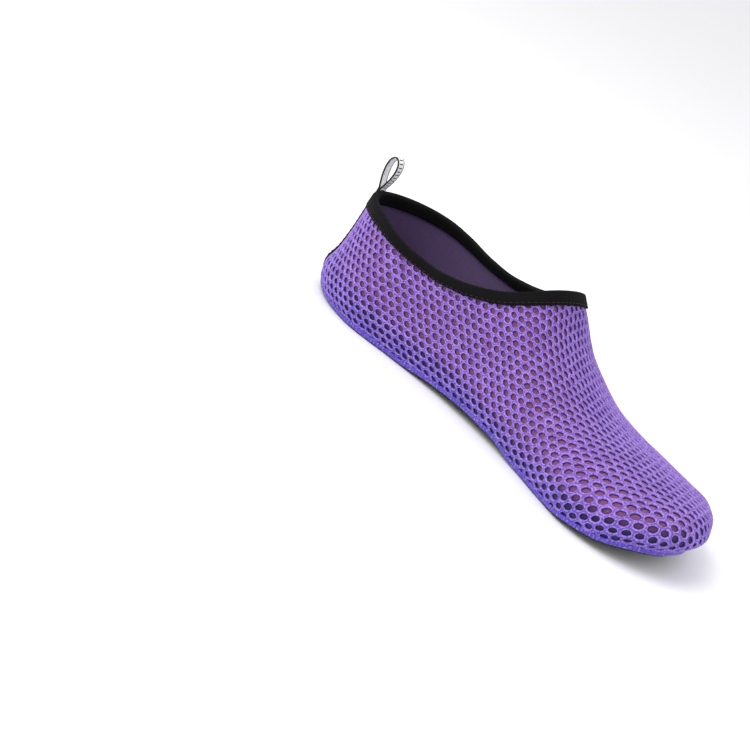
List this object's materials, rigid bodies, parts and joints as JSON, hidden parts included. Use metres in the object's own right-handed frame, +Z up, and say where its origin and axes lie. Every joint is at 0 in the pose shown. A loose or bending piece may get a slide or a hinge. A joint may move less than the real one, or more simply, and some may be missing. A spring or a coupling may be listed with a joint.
{
  "type": "water shoe",
  "caption": "Left-foot slip-on water sock: low mesh upper with bound collar, heel tape and pull loop on a thin grooved rubber sole.",
  "frame": {"origin": "middle of the heel's flat spot, on the ground", "axes": "+X from heel to toe, +Y towards the outer side of the left foot, +Z up"},
  "size_m": [0.2523, 0.0926, 0.0744],
  "materials": {
    "mesh_fabric": "knitted air mesh, violet, with a thin lining",
    "black_tape": "soft woven stretch tape, black",
    "ribbon": "woven ribbon, white with black edges",
    "sole_rubber": "matt moulded rubber, black",
    "footbed_foam": "soft foam under a knit cloth, near black"
  },
  "bodies": {
    "root": {"upper": "mesh_fabric", "collar_binding": "black_tape", "heel_tape": "black_tape", "pull_loop": "ribbon", "outsole": "sole_rubber", "insole": "footbed_foam"}
  },
  "joints": []
}
